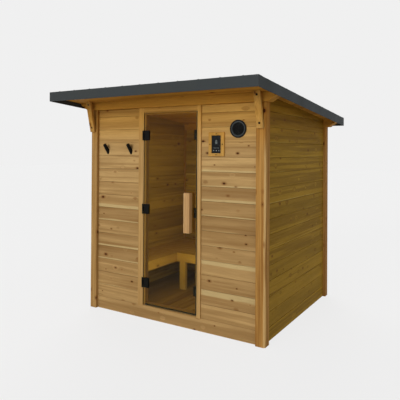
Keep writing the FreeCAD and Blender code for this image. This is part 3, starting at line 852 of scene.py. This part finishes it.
# %% Folded roof trims
def folded_trim(name, section, place, start, end, node):
    """Push a trim's section along an edge of the roof."""
    mesh = bar_mesh(name, [(section, place, start, end)])
    show(name, mesh, slate_steel, "cabin", "roof_trim", node)


half = trim_high.x
folded_trim("front_trim_sheet", trim_section(trim_drop),
            lambda along, across, depth: (along, trim_low.y + across, roof_top(trim_low.y + across) - depth),
            -half, half, "roof_trim_front")
folded_trim("back_trim_sheet", trim_section(trim_drop),
            lambda along, across, depth: (along, roof_end - across, roof_top(roof_end - across) - depth),
            -half, half, "roof_trim_back")
under = trim_section(trim_drop + sheet_steel + trim_play)
for name, side in (("left", -1), ("right", 1)):
    folded_trim(name + "_trim_sheet", under,
                lambda along, across, depth: (side * (half - across), along, roof_top(along) - depth),
                trim_low.y + sheet_steel, roof_end - sheet_steel, "roof_trim_" + name)
print("trims", sheet_steel * 1000, "mm thick")

# %% [markdown]
# Nobody sees the top of the roof in the photograph. Roofs of this kind carry a bitumen membrane with a
# mineral grit rolled into it, which is rough, dull and a little blotched by weather.

# %% Gritted membrane
def membrane(name):
    """Make a dark membrane with a mineral grit, drawn 4 mm wide where the real one is 1 mm."""
    material, tree, shader = new_material(name)
    place = add(tree, "TexCoord").outputs["Object"]
    grit = add(tree, "TexNoise", {"Vector": place, "Scale": 260.0, "Detail": 2.0})
    weather = add(tree, "TexNoise", {"Vector": place, "Scale": 1.8, "Detail": 5.0})
    colour = coats(tree, "#26282A", (grit, 0.45, 0.7, 0.6, "#3F4142"),
                   (weather, 0.45, 0.75, 0.35, "#4B4B45"))
    bump = add(tree, "Bump", {"Height": grit, "Strength": 0.4, "Distance": 0.001})
    fill(tree, shader, {"Base Color": colour, "Normal": bump, "Roughness": 0.88})
    return material


roof_membrane = membrane("gritted_roof_membrane")
print("roof finish", roof_membrane.name)

# %% [markdown]
# The membrane comes in strips. The roof falls to the back, and each strip laps over the next one there.

# %% The roof membrane
strip_count = 3
strip_lap = 0.08
strip_thick = 0.0011
strip_rise = 0.02


def strip_section(front, back, last):
    """Return the section of a strip as points of depth and height over the deck."""
    if last:
        return [(front, 0.0), (back, 0.0), (back, strip_thick), (front, strip_thick)]
    lap = back - strip_lap
    under = [(front, 0.0), (lap - strip_rise, 0.0), (lap, strip_thick), (back, strip_thick)]
    return under + [(y, height + strip_thick) for y, height in reversed(under)]


sheet_low, sheet_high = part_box("roof_sheet")
strip_width = (sheet_high.y - sheet_low.y + strip_lap * (strip_count - 1)) / strip_count
bars = []
for index in range(strip_count):
    front = sheet_low.y + index * (strip_width - strip_lap)
    section = strip_section(front, front + strip_width, index == strip_count - 1)
    bars.append((section, lambda along, across, height: deck_place(along, across, -height),
                 sheet_low.x, sheet_high.x))
mesh = bar_mesh("roof_membrane", bars)
show("roof_membrane", mesh, roof_membrane, "cabin", "roof_membrane", "roof_sheet")
print("membrane strips", strip_count, "width", round(strip_width, 3))

# %% [markdown]
# The door is one pane of bronze-tinted safety glass, 8 mm thick, toughened after its edges were ground.
# Tint and gloss come from clear glass with a coloured body. Real glass has an index of 1.52, but a pale
# studio mirrors in that as a grey veil that hides the room, so the value is lowered. Light can't find its
# way into the room through bent rays in a short render, so the rays that carry light pass a plain film
# instead.

# %% Tinted glass
glass_ior = 1.18
real_glass_ior = 1.52
bronze_tint = "#D3C695"
film_tint = "#F8F7E4"
pane_edge = 0.001


def bronze_glass(name):
    """Make smooth tinted glass that lets the light of lamps through."""
    material, tree, shader = new_material(name)
    fill(tree, shader, {"Base Color": bronze_tint, "Roughness": 0.0, "IOR": glass_ior,
                        "Transmission Weight": 1.0})
    film = add(tree, "BsdfTransparent", {"Color": film_tint})
    path = add(tree, "LightPath").outputs
    lighting = add(tree, "Math", {0: path["Is Shadow Ray"], 1: path["Is Diffuse Ray"]}, operation="MAXIMUM")
    pane = add(tree, "MixShader", {0: lighting, 1: shader, 2: film})
    fill(tree, tree.nodes["Material Output"], {"Surface": pane})
    return material


pane_glass = bronze_glass("bronze_safety_glass")
print("pane", pane_glass.name, "index", glass_ior)

# %% [markdown]
# The ground edges are matt and nearly black-green, because one looks along the length of the glass there.
# They are the faces of the pane that don't look to the front or the back.

# %% The glass door
def ground_edge(name):
    """Make the matt ground edge of tinted glass, with a frost drawn 3 mm wide, coarser than it is."""
    material, tree, shader = new_material(name)
    place = add(tree, "TexCoord").outputs["Object"]
    frost = add(tree, "TexNoise", {"Vector": place, "Scale": 400.0})
    fill(tree, shader, {"Base Color": coats(tree, "#1B2A1C", (frost, 0.3, 0.7, 1.0, "#2C3F2B")),
                        "Roughness": 0.45, "IOR": real_glass_ior})
    return material


edge_glass = ground_edge("ground_glass_edge")
mesh = eased("door_glass", "door_pane", pane_edge)
mesh.materials.append(pane_glass)
mesh.materials.append(edge_glass)
for face in mesh.polygons:
    face.material_index = 0 if abs(face.normal.y) > 0.99 else 1
show("door_pane", mesh, pane_glass, "door", "bronze_glass", "door_glass")
print("door faces", len(mesh.polygons))

# %% [markdown]
# The door closes on a soft seal of extruded rubber. Rubber is matt, nearly black and a little dusty, and
# it mirrors very little.

# %% Black rubber
def rubber(name):
    """Make matt black rubber, extruded and a little dusty."""
    material, tree, shader = new_material(name)
    place = add(tree, "TexCoord").outputs["Object"]
    dust = add(tree, "TexNoise", {"Vector": place, "Scale": 30.0, "Detail": 3.0})
    fill(tree, shader, {"Base Color": coats(tree, "#141612", (dust, 0.45, 0.8, 0.3, "#2B2C26")),
                        "Roughness": 0.75, "IOR": 1.52, "Specular IOR Level": 0.2})
    return material


seal_rubber = rubber("extruded_black_rubber")
print("seal material", seal_rubber.name)

# %% [markdown]
# A dark line runs down the latch side and along the foot of the pane. It is that seal, a low bead with
# bevelled edges in the rebate of the frame.

# %% The door seal
seal_width = 0.012
seal_thick = 0.0045
seal_inset = 0.002
seal_short = 0.02
catch_low, catch_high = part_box("door_catches")
shoulder_y = catch_low.y
seal_section = [(0.0, 0.0), (seal_width, 0.0), (seal_width, seal_thick * 0.55),
                (seal_width * 0.7, seal_thick), (seal_width * 0.3, seal_thick), (0.0, seal_thick * 0.55)]
seal_right = catch_high.x - seal_inset
seal_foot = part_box("door_sill")[1].z - seal_inset
bars = [
    (seal_section, lambda along, across, depth: (seal_right - across, shoulder_y - depth, along),
     glass_low.z + seal_width, glass_high.z),
    (seal_section, lambda along, across, depth: (along, shoulder_y - depth, seal_foot - across),
     glass_low.x + seal_short, seal_right),
]
show("door_seal", bar_mesh("door_seal", bars), seal_rubber, "cabin", "black_plastic")
print("seal", round(seal_width * 1000), "mm wide")

# %% [markdown]
# The vent and the magnetic catches are moulded black plastic. Moulding leaves an even, faintly pebbled
# skin. A grey ring is painted round the vent's grille, a painted highlight where its seat catches the light.

# %% Moulded plastic
ring_highlight_inner = 0.0575
ring_highlight_outer = 0.0665
ring_highlight_fade = 0.001


def moulded_plastic(name):
    """Make black plastic with a pebbled skin, drawn coarse to show, and a painted highlight as a grey ring
    round the grille.
    """
    material, tree, shader = new_material(name)
    place = add(tree, "TexCoord").outputs["Object"]
    pebble = add(tree, "TexVoronoi", {"Vector": place, "Scale": 500.0})
    faded = add(tree, "TexNoise", {"Vector": place, "Scale": 14.0, "Detail": 3.0})
    from_axis = add(tree, "VectorMath", {0: place, 1: vent_centre}, operation="SUBTRACT")
    flat = add(tree, "VectorMath", {0: from_axis, 1: (1.0, 0.0, 1.0)}, operation="MULTIPLY")
    radius = add(tree, "VectorMath", {0: flat}, operation="LENGTH").outputs["Value"]
    black = coats(tree, "#0E0E0C", (faded, 0.4, 0.8, 0.4, "#1A1A17"))
    # Painted highlight: a grey ring between two radii from the vent's axis.
    colour = coats(tree, black, (radius, ring_highlight_inner, ring_highlight_inner + ring_highlight_fade, 1.0, "#454A49"),
                   (radius, ring_highlight_outer, ring_highlight_outer + ring_highlight_fade, 1.0, black))
    bump = add(tree, "Bump", {"Height": pebble, "Strength": 0.15, "Distance": 0.0004})
    fill(tree, shader, {"Base Color": colour, "Normal": bump, "Roughness": 0.5, "Specular IOR Level": 0.1})
    return material


vent_plastic = moulded_plastic("moulded_black_plastic")
finish_node(vent_plastic, "round_vent", "door_catches")
# The print gives the width of the painted highlight ring.
print("bead", round((ring_highlight_outer - ring_highlight_inner) * 1000), "mm wide")

# %% [markdown]
# A dark insect screen lies behind the vent's rings. Its mesh is far too fine to draw, so it is a thin
# matt black disc, which hides the lit room and makes the vent's opening dark, a painted shade of the room
# behind.

# %% The insect screen
screen_radius = 0.0568
screen_thick = 0.0008
screen_behind_rings = 0.006
wall_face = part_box("front_wall_right")[0].y
bm = bmesh.new()
screen_centre = (vent_centre.x, wall_face + screen_behind_rings, vent_centre.z)
add_disc(bm, screen_centre, screen_radius, screen_thick, 48)
mesh = finished(bm, "vent_screen")
show("vent_screen", mesh, seal_rubber, "cabin", "black_plastic")
print("vent screen", round(screen_radius * 2000), "mm wide")

# %% [markdown]
# Each catch ends in a flat moulded lip, a finger wide, that the pane closes against. It shows through the
# glass as a black block at the height of a hinge.

# %% The catches' lips
lip_reach = 0.018
lip_thick = 0.004
lip_short = 0.002
lip_play = 0.0002
jamb_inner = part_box("door_jamb_right")[0].x
lip_left = jamb_inner - lip_reach
lip_right = catch_high.x - seal_inset - seal_width - lip_play
lip_section = [(lip_left, shoulder_y - lip_thick), (lip_right, shoulder_y - lip_thick),
               (lip_right, shoulder_y), (lip_left, shoulder_y)]
bars = []
for name in ("bottom", "middle", "top"):
    low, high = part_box("hinge_" + name + "_glass_leaf")
    bars.append((lip_section, lambda along, across, depth: (across, depth, along), low.z + lip_short,
                 high.z - lip_short))
show("catch_lips", bar_mesh("catch_lips", bars), vent_plastic, "cabin", "black_plastic")
print("catch lips", round(lip_reach * 1000), "mm wide")

# %% [markdown]
# The control panel is a sheet of float glass, coated black, in a wooden surround. Such glass is deep and
# glossy, with faint smears from fingers. It shows a number, a thin rule and three small round keys in
# screen-printed ink, which is pale grey and matt.

# %% Black glass and ink
def panel_glass(name):
    """Make the glossy black glass of the control panel."""
    material, tree, shader = new_material(name)
    place = add(tree, "TexCoord").outputs["Object"]
    smear = add(tree, "TexNoise", {"Vector": place, "Scale": 40.0, "Detail": 2.0})
    colour = add(tree, "Mix", {0: smear, 6: "#060708", 7: "#0E1012"}, data_type="RGBA").outputs[2]
    sheen = add(tree, "MapRange", {0: smear, 1: 0.3, 2: 0.8, 3: 0.12, 4: 0.3}, **smooth)
    fill(tree, shader, {"Base Color": colour, "Roughness": sheen, "IOR": real_glass_ior,
                        "Specular IOR Level": 0.15})
    return material


def printed_ink(name):
    """Make pale grey screen-printed ink, with specks drawn 1 mm wide, coarser than they are."""
    material, tree, shader = new_material(name)
    place = add(tree, "TexCoord").outputs["Object"]
    speck = add(tree, "TexNoise", {"Vector": place, "Scale": 900.0})
    colour = add(tree, "Mix", {0: speck, 6: "#8E9692", 7: "#A9AFAA"}, data_type="RGBA").outputs[2]
    fill(tree, shader, {"Base Color": colour, "Roughness": 0.6})
    return material


black_panel = panel_glass("black_panel_glass")
pale_ink = printed_ink("pale_screen_ink")
print("panel materials", black_panel.name, pale_ink.name)

# %% [markdown]
# The face is the solid of the panel with its corners eased, so that the black glass catches a fine line
# of light all round.

# %% The panel's face
panel_corner = 0.0025
mesh = eased("control_panel", "control_panel_face", panel_corner)
show("control_panel_face", mesh, black_panel, "cabin", "black_panel", "control_panel")

panel_low, panel_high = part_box("control_panel")
panel_centre = (panel_low + panel_high) / 2
print("panel", [round(value, 3) for value in panel_high - panel_low], "m")

# %% [markdown]
# The print is a skin of ink, 0.3 mm thick so that it has a body of its own. The number is built of seven
# strokes, as such panels show it, and every stroke is a bar pushed out of the face.

# %% The print on the panel
ink_thick = 0.0003
digit_width = 0.015
digit_height = 0.034
stroke = 0.0032
digit_above = 0.004
rule_inset = 0.016
rule_low, rule_high = -0.033, -0.0315
key_pitch = 0.026
keys_below = 0.056
key_radius = 0.004


def ink_bar(bm, x0, x1, z0, z1):
    """Add a thin printed bar on the face of the panel."""
    section = [(x0, z0), (x1, z0), (x1, z1), (x0, z1)]
    push_section(bm, section, lambda along, across, depth: (across, along, depth),
                 panel_low.y - ink_thick, panel_low.y)


def digit(bm, x, z, strokes):
    """Add a number made of the named strokes of a seven-stroke figure."""
    half = digit_height / 2
    bars = {
        "top": (x, x + digit_width, z + digit_height - stroke, z + digit_height),
        "middle": (x, x + digit_width, z + half - stroke / 2, z + half + stroke / 2),
        "foot": (x, x + digit_width, z, z + stroke),
        "upper_left": (x, x + stroke, z + half, z + digit_height),
        "lower_left": (x, x + stroke, z, z + half),
        "upper_right": (x + digit_width - stroke, x + digit_width, z + half, z + digit_height),
        "lower_right": (x + digit_width - stroke, x + digit_width, z, z + half),
    }
    for name in strokes:
        ink_bar(bm, *bars[name])


bm = bmesh.new()
digit(bm, panel_centre.x - digit_width / 2, panel_centre.z + digit_above,
      ["upper_left", "lower_left", "upper_right", "lower_right", "top", "middle", "foot"])
ink_bar(bm, panel_low.x + rule_inset, panel_high.x - rule_inset, panel_centre.z + rule_low,
        panel_centre.z + rule_high)
for side in (-1, 0, 1):
    key_place = (panel_centre.x + side * key_pitch, panel_low.y - ink_thick / 2, panel_centre.z - keys_below)
    add_disc(bm, key_place, key_radius, ink_thick, 20)
mesh = finished(bm, "control_panel_print")
show("control_panel_print", mesh, pale_ink, "cabin", "black_panel")
print("number", round(digit_height * 1000), "mm high")

# %% [markdown]
# Screws hold what shows: two bolts with 20 mm heads in each brace, four screws in the surround of the
# panel, two in each hinge plate and a row along the roof trims. They are all one turned shape, a domed
# head with a socket, so one outline is spun for each place and the heads of a kind become one mesh. The
# bolts are blackened steel, which is brownish black and dull.

# %% One screw head
def screw_heads(name, places, way, head, material, body, slot, washer=0.0):
    """Spin a domed head, given by its radius and height, at each place, all facing one way."""
    radius, height = head
    outline = [(0.0, height * 0.45), (radius * 0.38, height * 0.45), (radius * 0.42, height),
               (radius * 0.75, height * 0.92), (radius, height * 0.45), (radius, 0.0)]
    if washer:
        outline[-1] = (radius, height * 0.22)
        outline += [(washer, height * 0.16), (washer, 0.0)]
    turn = Vector((0, 0, 1)).rotation_difference(Vector(way)).to_matrix().to_4x4()
    bm = bmesh.new()
    segments = 16
    for place in places:
        move = Matrix.Translation(place) @ turn
        rings = []
        for r, z in outline:
            count = 1 if r == 0 else segments
            rings.append([bm.verts.new(move @ Vector((r * math.cos(math.tau * i / count),
                                                      r * math.sin(math.tau * i / count), z)))
                          for i in range(count)])
        faces = [bm.faces.new(rings[-1])]
        for inner, outer in zip(rings, rings[1:]):
            for i in range(segments):
                j = (i + 1) % segments
                corners = [inner[i % len(inner)], outer[i], outer[j]]
                if len(inner) > 1:
                    corners.append(inner[j])
                faces.append(bm.faces.new(corners))
        bmesh.ops.recalc_face_normals(bm, faces=faces)
    mesh = finished(bm, name)
    for face in mesh.polygons:
        face.use_smooth = len(face.vertices) < segments
    show(name, mesh, material, body, slot)


screw_steel = coated_metal("blackened_screw_steel", "#140E0A", "#241B14", 0.55, 3.0)
print("screw finish", screw_steel.name)

# %% [markdown]
# The places come from the solids: a brace's screws sit on its leaning face, the surround's in the middle
# of each side, and a hinge plate's over the bolts that go through the pane.

# %% Screws
bolt_head = (0.010, 0.003)
surround_head = (0.0055, 0.0016)
plate_head = (0.0055, 0.0018)
screw_sunk = 0.0008
plate_thick = 0.007
plate_inset = 0.026
brace_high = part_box("knee_brace_left")[1]
brace_lean = math.radians(12.9)
foot_inset = 0.025
brace_foot_front = brace_high.y - foot_inset
brace_screw_heights = (1.880, 2.113)
brace_places = []
for name in ("knee_brace_left", "knee_brace_right"):
    low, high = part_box(name)
    for height in brace_screw_heights:
        front = brace_foot_front - (height - low.z) * math.tan(brace_lean)
        brace_places.append(((low.x + high.x) / 2, front + screw_sunk, height))
brace_way = (0, -math.cos(brace_lean), -math.sin(brace_lean))
screw_heads("brace_screws", brace_places, brace_way, bolt_head, screw_steel, "cabin", "black_metal")

surround_low, surround_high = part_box("control_panel_frame")
side_x = (surround_low.x + panel_low.x) / 2
side_z = (surround_high.z + panel_high.z) / 2
surround_places = [
    (side_x, surround_low.y, panel_centre.z), (2 * panel_centre.x - side_x, surround_low.y, panel_centre.z),
    (panel_centre.x, surround_low.y, side_z), (panel_centre.x, surround_low.y, 2 * panel_centre.z - side_z),
]
outward = (0, -1, 0)
screw_heads("surround_screws", surround_places, outward, surround_head, screw_steel, "cabin", "black_metal")

plate_places = []
for name in ("bottom", "middle", "top"):
    low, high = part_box("hinge_" + name + "_glass_leaf")
    middle = (low.z + high.z) / 2
    for step in (-plate_inset, plate_inset):
        plate_places.append((high.x - plate_inset, glass_low.y - plate_thick, middle + step))
screw_heads("hinge_plate_screws", plate_places, outward, plate_head, black_steel, "door", "black_metal")
print("screws", len(brace_places) + len(surround_places) + len(plate_places))

# %% [markdown]
# The trims are held by screws with a broad washer, every 200 mm along the roof's edge. In the photograph
# they stand as small bumps on the front edge of the roof.

# %% Roof screws
screw_pitch = 0.2
edge_inset = 0.010
roof_head = (0.0062, 0.0045)
roof_washer = 0.0088
trim_screw = coated_metal("coated_screw_slate", "#26282A", "#3A3B37", 0.5, 3.0)
up = (0, deck_slope, 1)


def on_trim(x, y, lower=0.0):
    """Return the point of a trim's top at a place on the roof."""
    return (x, y, roof_top(y) - trim_drop - lower)


rows = {"front": [], "back": [], "sides": []}
for index in range(-5, 6):
    step = index * screw_pitch
    rows["front"].append(on_trim(step, trim_low.y + edge_inset))
    rows["back"].append(on_trim(step, roof_end - edge_inset))
    for side in (-1, 1):
        rows["sides"].append(on_trim(side * (half - edge_inset), step, sheet_steel))
for name, places in rows.items():
    screw_heads("roof_screws_" + name, places, up, roof_head, trim_screw, "cabin", "roof_trim", roof_washer)
print("roof screws", sum(len(places) for places in rows.values()))
